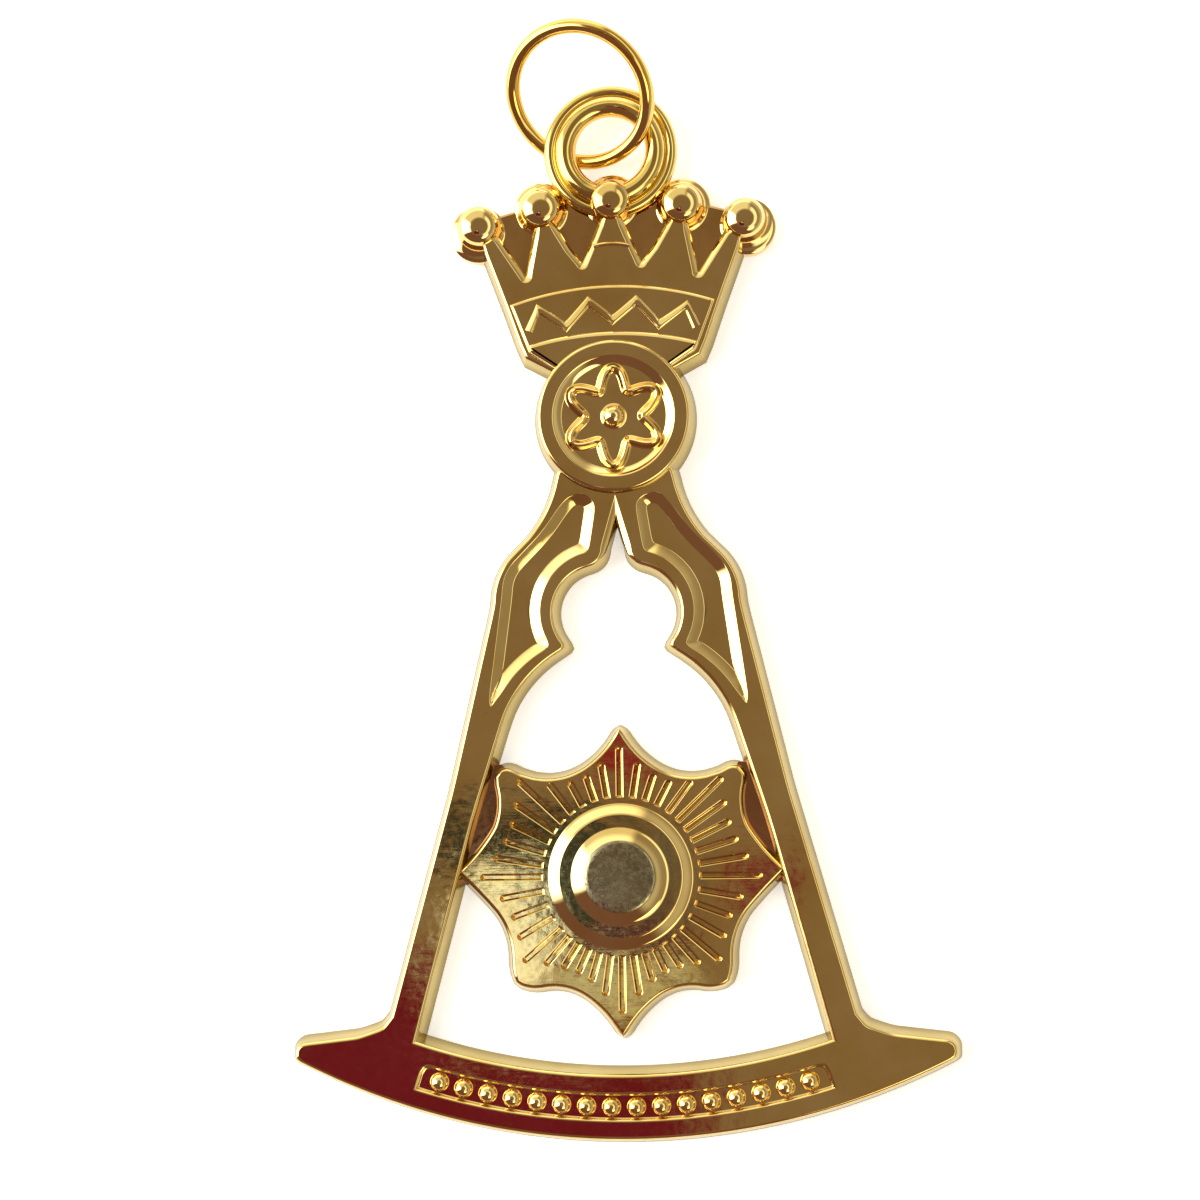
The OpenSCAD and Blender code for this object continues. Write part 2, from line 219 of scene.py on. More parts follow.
def outline_at(stretches, offset, times=0):
    """The closed outline moved outwards by offset, each corner by its mitre, and cut into
    columns: each stretch is read off at its own shares. A butted stretch keeps still between
    its ends, which slide as the corners of the neighbouring piece do. The loop is softened
    away from butted stretches."""
    corners = joined(*[line[:-1] for line, _, _ in stretches])
    after = right_of(np.roll(corners, -1, axis=0) - corners)
    before = np.roll(after, 1, axis=0)
    still = np.zeros(len(corners), bool)
    starts = np.cumsum([0] + [len(line) - 1 for line, _, _ in stretches])
    for a, b, (_, _, butts) in zip(starts, starts[1:], stretches):
        if butts is not None:
            after[a], before[b % len(corners)] = butts
            still[a + 1:b] = True
    moved = corners + offset * np.where(still[:, None], 0, mitre(before, after))
    moved = joined(moved, moved[:1])
    runs = [
        moved[a:b] if shares is None else along(moved[a:b + 1], shares)
        for a, b, (_, shares, _) in zip(starts, starts[1:], stretches)
    ]
    held = joined(*[np.full(len(run), butts is not None) for run, (*_, butts) in zip(runs, stretches)])
    return soften(joined(*runs), times, held | np.roll(held, 1))


def soften(loop, times=1, held=False):
    """Rounds a closed loop's corners: each point that isn't held becomes 1/4 of both
    neighbours and 1/2 of itself, a few times over."""
    held = np.broadcast_to(held, len(loop))[:, None]
    for _ in range(times):
        neighbours = np.roll(loop, 1, axis=0) + 2 * loop + np.roll(loop, -1, axis=0)
        loop = np.where(held, loop, neighbours / 4)
    return loop


def at_height(loop, z):
    """A flat loop lifted to height z."""
    return np.column_stack([loop, np.broadcast_to(z, len(loop))])


def zipped(loop, far):
    """The middle line of a loop: each column meets its partner, the one as far on the other
    side of place far, half way between the two. The place may lie between two columns."""
    partner = (round(2 * far) - np.arange(len(loop))) % len(loop)
    return (loop + loop[partner]) / 2


def long_outline(one, other, count, left_cuts, right_cuts):
    """The outline of a long form: one long line in count columns, a straight end with its
    own cuts, the other long line and the other end."""
    return [
        stretch(one, count), stretch([one[-1], other[0]], left_cuts),
        stretch(other, count), stretch([other[-1], one[0]], right_cuts),
    ]


def end_middle(outline):
    """The column half way along the first end of a long form."""
    (_, first, _), (_, end, _) = outline[:2]
    return len(first) + len(end) // 2


def plate_rows(outline, offset_heights):
    """Rows of a long plate, closed over its middle line at both ends: its outline moved
    outwards by each offset at each height."""
    rows = [at_height(outline_at(outline, d), z) for d, z in offset_heights]
    far = end_middle(outline)
    return [zipped(rows[0], far)] + rows + [zipped(rows[-1], far)]


def roll_over(top, r, start, turn, steps):
    """Offsets and heights where a face at height top rolls over by turn degrees:
    (r sin t - start, top - r + r cos t) for t from 0 to that turn."""
    t = np.radians(np.linspace(0, turn, steps + 1))
    return list(zip(r * np.sin(t) - start, top - r + r * np.cos(t)))


def wall_profile(top, ridge=ridge_w, pitch=ridge_pitch):
    """Offsets and heights of a wall. The face rolls over to a slope of pitch degrees, which
    runs out to offset ridge; a small round turns it down, and a steep straight wall falls to
    the foot, which stands wall_flare out at the back."""
    roll = roll_over(top, ridge_round, ridge_start, pitch, 5)
    x, z = roll[-1]
    end = z - (ridge - x) * math.tan(math.radians(pitch))
    turned = [(ridge, end), (ridge + 0.05, end - 0.08), (ridge + 0.09, end - 0.21)]
    foot = [(wall_flare - 0.05, foot_top), (wall_flare, foot_top - 0.1), (wall_flare, 0)]
    return roll + turned + foot


# The satin finish, darkened as painted shade, is on the steep bands of a wall and the band
# # across the back, and the tarnished one, partly a painted dark reflection, on the bands of the
# # boss's flat top
wall_bands = 6
boss_top_bands = 4


def wall_rows(stretches, top, wide=0, times=1, furthest=wall_flare, lowest=0):
    """Rows from a face down its wall to the back. wide gives each column its share of the
    wide ridge's profile, which goes no further out than furthest and no lower than lowest."""
    rows = []
    wide_profile = wall_profile(top, wide_ridge_w, wide_ridge_pitch)
    for (d, z), (wide_d, wide_z) in zip(wall_profile(top), wide_profile):
        narrow = at_height(outline_at(stretches, d, times), z)
        broad = at_height(outline_at(stretches, min(wide_d, furthest), times), max(wide_z, lowest))
        share = np.broadcast_to(wide, len(narrow))[:, None]
        rows.append(narrow + (broad - narrow) * share)
    return rows


def grid_faces(r, c, closed_rows=False):
    """Four-sided faces between neighbouring points of a grid of r rows and c columns. The
    last column joins the first, and with closed_rows the last row joins the first."""
    i = np.arange(r if closed_rows else r - 1)[:, None]
    j = np.arange(c)
    up, nxt = (i + 1) % r, (j + 1) % c
    corners = [i * c + j, i * c + nxt, up * c + nxt, up * c + j]
    return np.stack(corners, axis=-1).reshape(-1, 4)


def skin(name, rows, material=None, node=CASTING, side=0, dull=0,
         closed_rows=False):
    """Joins neighbouring columns and rows of points, (rows, columns, 3) in millimetres. The
    last bands of faces, side of them, take the satin finish, darkened as painted shade, and the
    first, dull of them, the tarnished one, whose darkness is partly painted reflection."""
    grid = np.asarray(rows, float)
    r, c = grid.shape[:2]
    quads = grid_faces(r, c, closed_rows)
    band = np.arange(len(quads)) // c
    finish = np.where(band < dull, 2, band > band[-1] - side)
    materials = [material or gilt_face, painted_shade_side, boss_tarnish_and_reflection]
    finished(name, grid.reshape(-1, 3), quads, materials, finish, node)


def finished(name, points, quads, materials, finish, node):
    """Makes the object: points in millimetres are written in metres, points closer than a
    micrometre become one, which closes poles and zipped seams, and faces are turned outwards
    and shaded smooth up to 32 degrees. Level faces are left flat, so that they mirror like a
    plane. finish gives each face its place in materials."""
    mesh = bpy.data.meshes.new(name)
    mesh.from_pydata((points * MM).tolist(), [], quads.tolist())
    mesh.polygons.foreach_set("material_index", finish.astype(np.int32))
    work = bmesh.new()
    work.from_mesh(mesh)
    bmesh.ops.remove_doubles(work, verts=work.verts, dist=1e-6)
    bmesh.ops.dissolve_degenerate(work, edges=work.edges, dist=1e-7)
    bmesh.ops.recalc_face_normals(work, faces=work.faces)
    level = [face for face in work.faces if abs(face.normal.z) > 0.99999]
    bmesh.ops.triangulate(work, faces=level, quad_method="BEAUTY")
    work.to_mesh(mesh)
    work.free()
    mesh.shade_smooth()
    mesh.set_sharp_from_angle(angle=math.radians(32))
    normals = np.empty(len(mesh.polygons) * 3)
    mesh.polygons.foreach_get("normal", normals)
    mesh.polygons.foreach_set("use_smooth", np.abs(normals[2::3]) < 0.99999)
    for material in materials[:int(max(finish)) + 1]:
        mesh.materials.append(material)
    piece = bpy.data.objects.new(name, mesh)
    bpy.context.scene.collection.objects.link(piece)
    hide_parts(node)
    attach(piece, "root")


def mirrored(rows):
    """The same rows on the other side of the Y axis."""
    return np.asarray(rows) * [-1, 1, 1]


def revolved(profile, middle, columns):
    """A turned form: each (radius, height) of the profile becomes a circle about middle."""
    t = np.linspace(0, math.tau, columns, endpoint=False)
    r, z = np.asarray(profile, float).T
    x = middle[0] + r[:, None] * np.cos(t)
    y = middle[1] + r[:, None] * np.sin(t)
    return np.stack([x, y, np.broadcast_to(z[:, None], x.shape)], axis=-1)


# Finishes


def makers(tree):
    """Short makers for a node tree: inputs of a node set or linked, a new node, one step of
    arithmetic, a ramp from one range to another, and a mix of two colours."""

    def put(socket, value):
        if isinstance(value, bpy.types.NodeSocket):
            tree.links.new(value, socket)
        else:
            socket.default_value = value

    def fill(node, **inputs):
        for key, value in inputs.items():
            put(node.inputs[key.replace("_", " ")], value)
        return node

    def add(kind, **inputs):
        return fill(tree.nodes.new(kind), **inputs)

    def maths(kind, *values):
        node = tree.nodes.new("ShaderNodeMath")
        node.operation = kind
        for socket, value in zip(node.inputs, values):
            put(socket, value)
        return node.outputs[0]

    def ramp(value, low, high, bottom=0.0, top=1.0, kind="LINEAR"):
        node = add("ShaderNodeMapRange", Value=value, From_Min=low, From_Max=high,
                   To_Min=bottom, To_Max=top)
        node.interpolation_type = kind
        return node.outputs["Result"]

    def mixed(share, a, b, blend="MIX"):
        node = tree.nodes.new("ShaderNodeMix")
        node.data_type, node.blend_type = "RGBA", blend
        put(node.inputs["Factor"], share)
        for socket, value in zip(node.inputs[6:8], (a, b)):
            put(socket, (*value, 1) if isinstance(value, tuple) else value)
        return node.outputs[2]

    return fill, add, maths, ramp, mixed


def new_material(name):
    """A material, its shader and the makers of its node tree."""
    material = bpy.data.materials.new(name)
    material.use_nodes = True
    shader = next(n for n in material.node_tree.nodes if n.type == "BSDF_PRINCIPLED")
    return material, shader, makers(material.node_tree)


def gilt(name, colour, worn, tarnish=0.0, rough=0.045, ripple=0.1, foot_shade_share=1.0):
    """Polished gilding over a casting. A broad noise varies its colour to a browner worn
    tone and ripples the surface; a fine one varies its roughness and gives it an orange peel;
    a third, cut by a steep ramp, lays dull dark specks of tarnish; short scratches cross it.
    From 1.5 down to 0.2 mm above the back the colour sinks to the foot share of itself: painted
    shade, standing in for the shaded floor that a wall mirrors near its foot."""
    material, shader, (fill, add, maths, ramp, mixed) = new_material(name)
    where = add("ShaderNodeTexCoord").outputs["Object"]
    z = add("ShaderNodeSeparateXYZ", Vector=where).outputs["Z"]

    def noise(scale, detail, roughness=0.5, place=where):
        node = add("ShaderNodeTexNoise", Vector=place, Scale=scale, Detail=detail,
                   Roughness=roughness)
        return node.outputs["Fac"]

    broad = noise(210.0, 3.0, 0.55)
    fine = noise(2600.0, 4.0, 0.6)
    specks = noise(1500.0, 6.0, 0.75)

    spot = ramp(specks, 0.62 - 0.2 * tarnish, 0.78 - 0.14 * tarnish, 0.0, 0.25 + 0.7 * tarnish)
    body = mixed(ramp(broad, 0.35, 0.7), colour, worn)
    dark = mixed(spot, body, (0.16, 0.12, 0.07))
    # Painted shade: the colour darkens over the lowest 1.5 mm, as the shaded floor mirrored at a wall's
    # foot would.
    foot = ramp(z, 0.0002, 0.0015, foot_shade_share)
    dull = ramp(fine, 0.3, 0.75, rough * 0.6, rough * 1.8)

    turned = add("ShaderNodeMapping", Vector=where, Rotation=(0, 0, math.radians(28)),
                 Scale=(1.0, 14.0, 1.0))
    scratch = noise(420.0, 5.0, place=turned.outputs["Vector"])
    relief = add("ShaderNodeBump", Height=broad, Strength=ripple, Distance=0.0002)
    for grain, strength in ((fine, 0.035), (scratch, 0.02)):
        relief = add("ShaderNodeBump", Height=grain, Strength=strength, Distance=0.00003,
                     Normal=relief.outputs[0])
    fill(shader, Base_Color=mixed(1.0, dark, foot, "MULTIPLY"), Metallic=1.0,
         Roughness=maths("MULTIPLY_ADD", spot, 0.4, dull), Normal=relief.outputs[0])
    return material


gilt_face = gilt("gilt_face", (0.88, 0.67, 0.29), (0.78, 0.54, 0.19))
# Painted shade: the walls' satin gilding is deeper in colour than the face, standing in for the shaded
# floor that they mirror.
painted_shade_side = gilt("gilt_side_satin_painted_shade", (0.56, 0.43, 0.16), (0.48, 0.35, 0.11), rough=0.14, ripple=0.12,
                 foot_shade_share=0.6)
gilt_recess = gilt("gilt_recess_coppery", (0.55, 0.29, 0.14), (0.40, 0.19, 0.09), tarnish=0.15,
                   rough=0.08)
gilt_backing = gilt("gilt_backing_warm", (0.82, 0.52, 0.20), (0.60, 0.36, 0.13), tarnish=0.15)
# Tarnish and painted reflection: the boss top's dull olive colour and dense dark specks also stand in
# for dark surroundings mirrored there.
boss_tarnish_and_reflection = gilt("gilt_boss_tarnish_and_painted_reflection", (0.50, 0.46, 0.28), (0.27, 0.25, 0.14), tarnish=0.9, rough=0.14)
gilt_loop = gilt("gilt_loop_polish", (0.84, 0.64, 0.22), (0.72, 0.50, 0.14), rough=0.07, ripple=0.2)
gilt_wire = gilt("gilt_ring_wire", (0.86, 0.60, 0.18), (0.74, 0.45, 0.10), rough=0.06, ripple=0.2)


# Legs of the compasses


def meets_arc(a, b):
    """Where the line from a to b crosses the upper edge of the arc: the root of
    |a + t (b - a) - hinge| = leg_len."""
    p, d = a - [0, hinge_y], b - a
    k = p @ d
    t = (-k + math.sqrt(k * k - (d @ d) * (p @ p - leg_len ** 2))) / (d @ d)
    return a + t * d


leg_points, leg_curve = placer(leg_spread, -leg_len, 10)
inner_mid, inner_foot = leg_points((0.640, 0.610), (0.909, 0.960))
outer_foot, outer_mid = leg_points((1.0, 0.925), (0.718, 0.568))
foot_in = meets_arc(inner_mid, inner_foot)
foot_out = outer_mid + (outer_foot - outer_mid) * foot_share

# The joint between a leg and the arc runs along the mitres of the two corners
inner_normal, outer_normal = right_of(foot_in - inner_mid), right_of(outer_mid - foot_out)
arc_normal = right_of(np.array([foot_in[1] - hinge_y, -foot_in[0]]))
horn_start = leg_points((1.03, 0.928))[0]
horn_normal = right_of(foot_out - horn_start)
foot_cut = np.array([
    foot_in, foot_in - joint_reach * mitre(inner_normal, arc_normal),
    foot_out - joint_reach * mitre(horn_normal, outer_normal), foot_out,
])
# Above the crotch the leg butts on the other leg, whose inner edge mirrors its own
neck_normal = right_of(np.subtract(*leg_points((0.18, 0.05), (0.244, 0.086))))
crotch_normal = right_of(np.subtract(*leg_points((0.064, 0.200), (0, 0.123))))
top_butt = neck_normal, crotch_normal * flip

leg_outline = [
    stretch(leg_points((0, 0.123), (0.064, 0.200)), 8),
    stretch(leg_curve((0.064, 0.200), (0.083, 0.219), (0.112, 0.2255)), 10),
    stretch(leg_curve((0.112, 0.2255), (0.285, 0.290), (0.252, 0.341)), 24),
    stretch(leg_points((0.252, 0.341), (0.229, 0.351)), 2),
    stretch(leg_curve((0.229, 0.351), (0.376, 0.389), (0.501, 0.457)), 16),
    stretch([leg_points((0.501, 0.457))[0], inner_mid, foot_in], 22),
    stretch(foot_cut, butts=(arc_normal, horn_normal)),
    stretch([foot_out, outer_mid], 23),
    stretch([outer_mid, leg_points((0.527, 0.285))[0]], 14),
    stretch(leg_curve((0.527, 0.285), (0.502, 0.240), (0.456, 0.215)), 14),
    stretch(leg_points((0.456, 0.215), (0.371, 0.185)), 10),
    stretch(leg_curve((0.371, 0.185), (0.300, 0.147), (0.244, 0.086)), 10),
    stretch(leg_points((0.244, 0.086), (0.18, 0.05)), 10),
    stretch(leg_points((0.18, 0.05), (0, 0.05), (0, 0.123)), butts=top_butt),
]
scallop = leg_curve((0.300, 0.345), (0.328, 0.274), (0.121, 0.206))[::-1]
tip_in, tip_low, tip_out = leg_points((0.536, 0.432), (0.5495, 0.4415), (0.555, 0.428))
# Columns of the panel's lowest point: four down either side, and the rest fan out from it
nose_column = np.arange(48)
nose_shares = np.minimum(nose_column / 8, 0.5) + np.maximum(1 - (48 - nose_column) / 8, 0.5) - 0.5
panel_outline = [
    stretch(leg_points((0.089, 0.136), (0.121, 0.206)), 8),
    stretch(scallop[:3], 10),
    stretch(scallop[2:], 24),
    stretch(leg_points((0.300, 0.345), (0.297, 0.351)), 2),
    stretch(joined(leg_curve((0.297, 0.351), (0.430, 0.3855), (0.517, 0.4255)), [tip_in]), 16),
    stretch([tip_in, tip_low, tip_out], nose_shares),
    stretch([tip_out, leg_points((0.493, 0.268))[0]], 14),
    stretch(joined(leg_curve((0.493, 0.268), (0.480, 0.241), (0.442, 0.220)),
                   leg_points((0.392, 0.202))), 14),
    stretch(leg_points((0.392, 0.202), (0.342, 0.184)), 10),
    stretch(leg_points((0.342, 0.184), (0.297, 0.165), (0.250, 0.141), (0.224, 0.130)), 10),
    stretch(leg_curve((0.224, 0.130), (0.158, 0.1185), (0.089, 0.136)), 12),
]
leg_columns = len(outline_at(leg_outline, 0))


def recess_rows(outline, top, depth, slope, far, tapered=0):
    """Rows of a sunk panel, from the middle line of its floor out over its sloped side to its
    rounded rim: the floor lies depth below top, and its edge stands slope inside the rim.
    Tapered columns on either side of column far go no further in than half the width there,
    and their depth shrinks by the same share, so that the panel runs out in a point."""
    floor_z = top - depth
    profile = [
        (-slope - 0.05, floor_z), (-slope, floor_z + 0.01), (-slope + 0.05, floor_z + 0.045),
        (-0.06, top - 0.075), (-0.01, top - 0.028), (0.04, top - 0.006), (0.11, top),
    ]
    rim = outline_at(outline, 0, 2)
    half = np.linalg.norm(zipped(rim, far) - rim, axis=1)
    half[np.abs(np.arange(len(rim)) - far) > tapered] = np.inf
    rows = []
    for d, z in profile:
        share = np.minimum(1, 0.97 * half / abs(d)) if d < 0 else np.ones(len(rim))
        row = rim + (outline_at(outline, d, 2) - rim) * share[:, None]
        rows.append(at_height(row, top - (top - z) * share))
    return [zipped(rows[0], far)] + rows


leg_rows = recess_rows(panel_outline, face_h, panel_depth, panel_slope, leg_columns // 2,
                       tapered=44)
# The walls of the fork between the legs, the first columns, have a wide ridge
in_fork = np.clip(2 - np.arange(leg_columns) / 7, 0, 1)
leg_rows += wall_rows(leg_outline, face_h, in_fork)
leg_rows += [zipped(at_height(outline_at(leg_outline, 0, 1), 0.0), leg_columns // 2)]
skin("leg_right", leg_rows, side=wall_bands)
skin("leg_left", mirrored(leg_rows), side=wall_bands)

# Arc with its horns and its sunk channel

channel_half = math.degrees(((bead_count - 1) / 2 + channel_end) * bead_pitch / channel_r)
top_half = math.degrees(math.asin(foot_in[0] / leg_len))
low_half = math.degrees(math.asin(horn_x / arc_r))
horn_low = circle_run(hinge_y, arc_r, low_half, low_half, 1)[0]
horn_line = joined(
    [foot_out, horn_start],
    leg_points((1.14, 0.941), (1.26, 0.946)),
    [[horn_x * 0.988, hinge_y - leg_len * 0.951], [horn_x, hinge_y - leg_len * 0.957], horn_low],
)
arc_outline = [
    stretch(circle_run(hinge_y, leg_len, top_half, -top_half), 80),
    stretch(foot_cut * flip, butts=(inner_normal * flip, outer_normal * flip)),
    stretch(horn_line * flip, 29),
    stretch(circle_run(hinge_y, arc_r, -low_half, -channel_half, 20), 24),
    stretch(circle_run(hinge_y, arc_r, -channel_half, channel_half), 80),
    stretch(circle_run(hinge_y, arc_r, channel_half, low_half, 20), 24),
    stretch(horn_line[::-1], 29),
    stretch(foot_cut[::-1], butts=(outer_normal, inner_normal)),
]
channel_top = circle_run(hinge_y, channel_r - channel_w / 2, channel_half, -channel_half)
channel_low = circle_run(hinge_y, channel_r + channel_w / 2, -channel_half, channel_half)
# Shares down an end of the channel at which its columns stand: three for the leg's joint,
# then those of the horn, then those of the arc's lower edge
left_cuts = joined([0, 0.36, 0.62], np.linspace(0.68, 0.86, 30)[:-1], np.linspace(0.86, 1, 25)[:-1])
right_cuts = joined([0], 1 - left_cuts[:0:-1])
channel_outline = long_outline(channel_top, channel_low, 80, left_cuts, right_cuts)
arc_far = end_middle(channel_outline)
arc_rows = recess_rows(channel_outline, face_h, channel_depth, channel_slope, arc_far)
arc_rows += wall_rows(arc_outline, face_h)
arc_rows += [zipped(at_height(outline_at(arc_outline, 0), 0.0), arc_far)]
skin("arc", arc_rows, side=wall_bands)


def bead_row():
    """The beads of the channel as one mesh of half balls: a quarter circle of radius bead_r,
    turned, stands on the channel's floor at each angle a from straight down."""
    u = np.linspace(-0.2, math.pi / 2, 11)
    ball = revolved(np.stack([bead_r * np.cos(u), bead_r * np.sin(u)], axis=1), (0, 0), 28)
    a = (np.arange(bead_count) - (bead_count - 1) / 2) * bead_pitch / channel_r
    middle = at_height(polar(a, channel_r) * [1, -1] + [0, hinge_y], face_h - channel_depth)
    points = middle[:, None, None, :] + ball
    r, c = ball.shape[:2]
    quads = (grid_faces(r, c) + (np.arange(bead_count) * r * c)[:, None, None]).reshape(-1, 4)
    finished("channel_beads", points.reshape(-1, 3), quads, [gilt_face], np.zeros(len(quads)),
             CASTING)


bead_row()

# Sun with its grooves and its boss

# Corners of the right half of the sun's edge, x and y, and a place on the round stretch
# after each, x and y, as shares of sun_r
sun_arcs = np.array([
    (0, 0.930, 0.077, 0.810),
    (0.192, 0.702, 0.335, 0.630),
    (0.464, 0.611, 0.593, 0.630),
    (0.698, 0.675, 0.765, 0.668),
    (0.786, 0.600, 0.768, 0.450),
    (0.800, 0.310, 0.890, 0.180),
    (1.028, 0.035, 0.909, -0.083),
    (0.794, -0.210, 0.722, -0.340),
    (0.690, -0.528, 0.683, -0.605),
    (0.665, -0.665, 0.590, -0.690),
    (0.500, -0.687, 0.381, -0.687),
    (0.230, -0.745, 0.090, -0.870),
    (0, -1.003, 0, 0),
])
# Bearing of the groove on a tip, its end and the end of the shortest groove before the next
# tip as shares of sun_r, and the number of pitches to the next tip
groove_fans = [
    (0, 0.825, 0.675, 5),
    (46.5, 0.901, 0.778, 5),
    (90, 0.897, 0.746, 4),
    (130.5, 0.825, 0.675, 6),
]
last_tip = (180, 0.869)


def sun_edge():
    """Bearing and radius of the sun's outline all the way round, from its arcs on the right
    and their mirror image on the left."""
    corners, bends = np.hsplit(sun_arcs * sun_r, 2)
    arcs = [curve(a, b, c)[:-1] for a, b, c in zip(corners, bends, corners[1:])]
    half = joined(*arcs, corners[-1:])
    bearing = np.arctan2(half[:, 0], half[:, 1])
    radius = np.hypot(*half.T)
    return joined(-bearing[::-1], bearing[1:]), joined(radius[::-1], radius[1:])


def groove_list():
    """Bearing and outer end of every groove, clockwise from the top: along a fan with share t
    the end is sun_r (middle + (tip - middle)(1 - 2 t)^2), less half a groove's width."""
    bearing, end = [], []
    tips = groove_fans + [last_tip]
    for (b0, tip0, middle, pitches), (b1, tip1, *_) in zip(tips, tips[1:]):
        t = np.arange(pitches) / pitches
        tip = np.where(t < 0.5, tip0, tip1)
        bearing.append(b0 + t * (b1 - b0))
        end.append(sun_r * (middle + (tip - middle) * (1 - 2 * t) ** 2))
    bearing, end = joined(*bearing, [180.0]), joined(*end, [sun_r * last_tip[1]])
    bearing, end = joined(bearing, 360 - bearing[-2:0:-1]), joined(end, end[-2:0:-1])
    return np.radians(bearing), end - groove_w / 2


def groove_grid(edge):
    """The sun's face round its middle, as points (rows, columns, 3). Each groove has nine
    columns that run beside its axis at fixed distances t, and a column half way to the next
    groove. Rows cross them at distances s from the middle; at a groove's outer end
    s = end + sqrt(w^2 - t^2) rounds it off. The floor lies groove_depth under the face, and
    no row comes nearer to the edge than groove_margin."""
    bearing, end = groove_list()
    half = groove_w / 2
    beside = np.array([0.12, half, half + 0.06, half + 0.13])
    t = joined(-beside[::-1], [0], beside)
    start = boss_r + 0.6
    ends = end[:, None]

    def round_end(reach):
        """The row that rounds a groove's outer end at this distance from its last point."""
        return ends + np.sqrt(np.maximum(reach ** 2 - t ** 2, 0))

    s = np.stack(np.broadcast_arrays(
        boss_r + 0.15, start - 0.07, start, start + 0.12,
        start + (ends - start) * 0.33, start + (ends - start) * 0.66,
        round_end(0.12) - 0.02, round_end(half), round_end(half + 0.07), round_end(half + 0.12),
    ))
    # Which rows and columns are floor, and which are the rim, 0.02 lower than the face
    deep_row = np.array([0, 0, 0, 1, 1, 1, 1, 0, 0, 0])[:, None, None]
    rim_row = np.array([0, 0, 1, 0, 0, 0, 0, 1, 0, 0])[:, None, None]
    deep_column = np.abs(t) < 0.2
    rim_column = np.abs(np.abs(t) - half) < 0.01
    inside = np.abs(t) < half + 0.01
    drop = groove_depth * deep_row * deep_column
    drop = drop + 0.02 * np.maximum(rim_row * inside, rim_column * np.maximum(deep_row, rim_row))
    sin, cos = np.sin(bearing)[:, None], np.cos(bearing)[:, None]
    x, y = s * sin + t * cos, s * cos - t * sin

    between = bearing + (np.roll(bearing, -1) - bearing) % math.tau / 2
    axis = s[:, :, len(t) // 2]
    s_between = (axis + np.roll(axis, -1, axis=1)) / 2

    def with_between(grooves, column):
        """The grooves' columns, each group followed by the column between two grooves."""
        return np.concatenate([grooves, column[:, :, None]], axis=2).reshape(len(s), -1)

    x = with_between(x, s_between * np.sin(between))
    y = with_between(y, s_between * np.cos(between))
    drop = with_between(drop + 0 * s, 0 * s_between)
    limit = np.interp(np.arctan2(x, y), *edge, period=math.tau) - groove_margin
    share = np.minimum(1, limit / np.hypot(x, y))
    return np.stack([x * share, y * share, sun_h - drop], axis=-1)


def sun_rows():
    """The sun as closed rows round its middle: the boss, the grooved face, then the wall,
    which moves out from the edge along its normals, and the back."""
    edge = sun_edge()
    face = groove_grid(edge)
    radius_drops = [
        (0, 0), (1.2, 0), (2.4, 0.01), (2.72, 0.03), (2.88, 0.10), (3.02, 0.22), (3.60, 0.62),
        (button_r, 0.74), (3.97, 0.76), (4.88, 0.76), (5.0, 0.78), (5.06, 0.81), (5.14, 0.88),
    ]
    boss_profile = [(r, boss_h - drop) for r, drop in radius_drops]
    boss_profile += [(5.66, sun_h + 0.08), (boss_r + 0.05, sun_h + 0.01)]
    aim = np.arctan2(face[0, :, 0], face[0, :, 1])
    boss = [at_height(polar(aim, r), z) for r, z in boss_profile]

    aim = np.arctan2(face[-1, :, 0], face[-1, :, 1])
    rim = polar(aim, np.interp(aim, *edge, period=math.tau))[::-1]
    normal = soften(right_of(np.roll(rim, -1, axis=0) - np.roll(rim, 1, axis=0)))
    rim, normal = rim[::-1], normal[::-1]
    wall = [at_height(rim + d * normal, z) for d, z in wall_profile(sun_h)]
    return boss + list(face) + wall + [at_height(0 * rim, 0)]


skin("sun", sun_rows(), side=wall_bands, dull=boss_top_bands)

# Webs that join the sun to the legs

web_corners = sun_r * np.array([
    (0.72, 0.26), (0.99, -0.05), (1.15, -0.03), (0.93, 0.72), (0.76, 0.72), (0.70, 0.62),
])


def web_rows():
    """A thin flat plate: its outline at the top, a small round, and an upright wall."""
    following = np.roll(web_corners, -1, axis=0)
    outline = [stretch(line, 4) for line in zip(web_corners, following)]
    loop, near = outline_at(outline, 0), outline_at(outline, -0.05)
    middle = np.broadcast_to(loop.mean(axis=0), loop.shape)
    lines = [middle, near, loop, loop, middle]
    return [at_height(p, z) for p, z in zip(lines, [back_h, back_h, back_h - 0.05, 0, 0])]


web = web_rows()
skin("web_right", web, gilt_recess)
skin("web_left", mirrored(web), gilt_recess)

# Hinge disc

hub_floor = hub_h - hub_depth
inner_rim = hub_r - hub_rim_w
bead_turn = np.linspace(math.pi / 2, 0.05, 9)
hub_profile = list(zip(hub_bead_r * np.cos(bead_turn), hub_floor + hub_bead_r * np.sin(bead_turn)))
hub_profile += [
    (hub_bead_r + 0.12, hub_floor), (inner_rim - 0.60, hub_floor),
    (inner_rim - 0.52, hub_floor + 0.03), (inner_rim, hub_h - 0.07),
    (inner_rim + 0.05, hub_h - 0.02), (inner_rim + 0.12, hub_h),
]
hub_profile += [(hub_r + d, z) for d, z in wall_profile(hub_h)] + [(0, 0)]
skin("hinge_disc", revolved(hub_profile, (0, hinge_y), 128), side=wall_bands)


